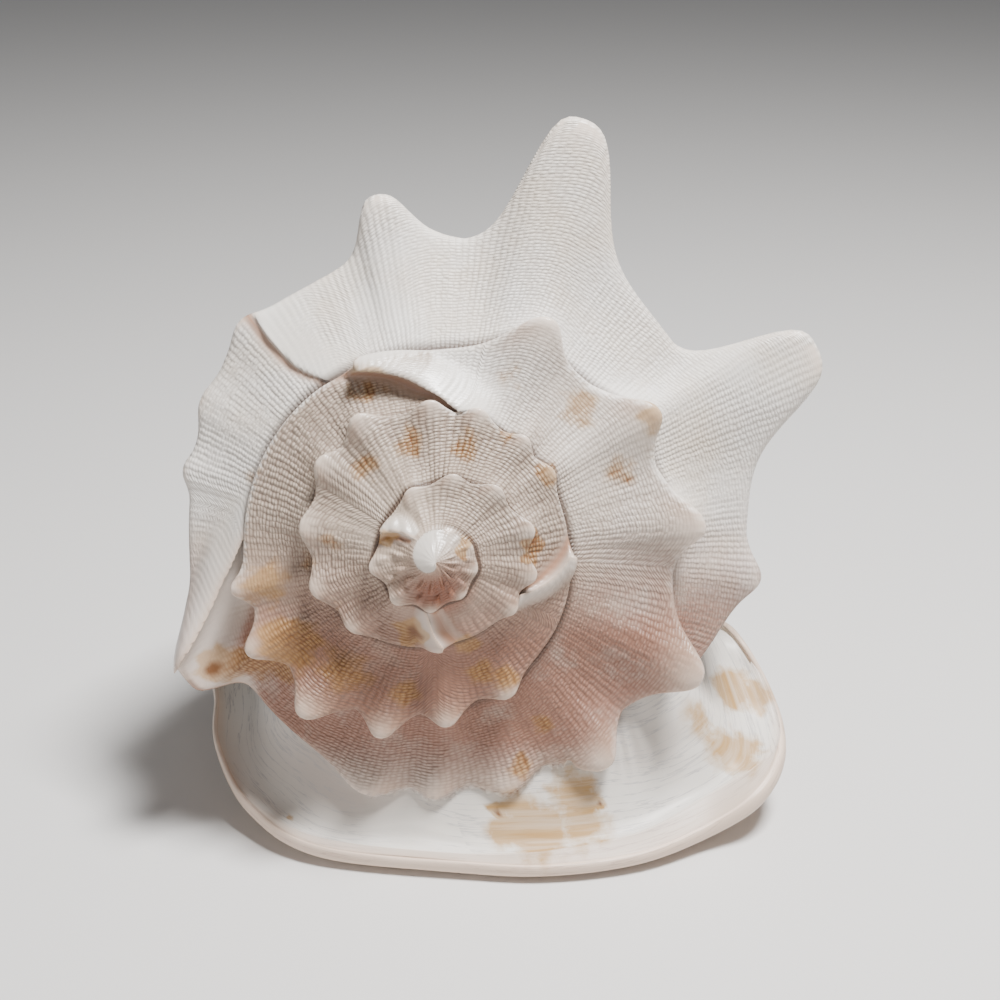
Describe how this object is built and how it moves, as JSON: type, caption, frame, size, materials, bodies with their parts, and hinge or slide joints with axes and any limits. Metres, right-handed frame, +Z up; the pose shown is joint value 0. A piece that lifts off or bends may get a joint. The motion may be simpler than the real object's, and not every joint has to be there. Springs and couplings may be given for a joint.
{
  "type": "horned helmet shell",
  "caption": "Large horned sea shell lying on its mouth: coiled knobbly spire, tall shoulder horns, a flared shield and lip, and a toothed slot mouth.",
  "frame": {"origin": "on the floor, under the middle of the shell's footprint as it lies on its mouth", "axes": "+Z up, -Y towards the spire, +Y towards the narrow spout, +X on the side of the outer lip"},
  "size_m": [0.2298, 0.2632, 0.2565],
  "materials": {
    "shell": "satin, chalky outside and polished on the shield"
  },
  "bodies": {
    "root": {"shell": "shell"}
  },
  "joints": []
}
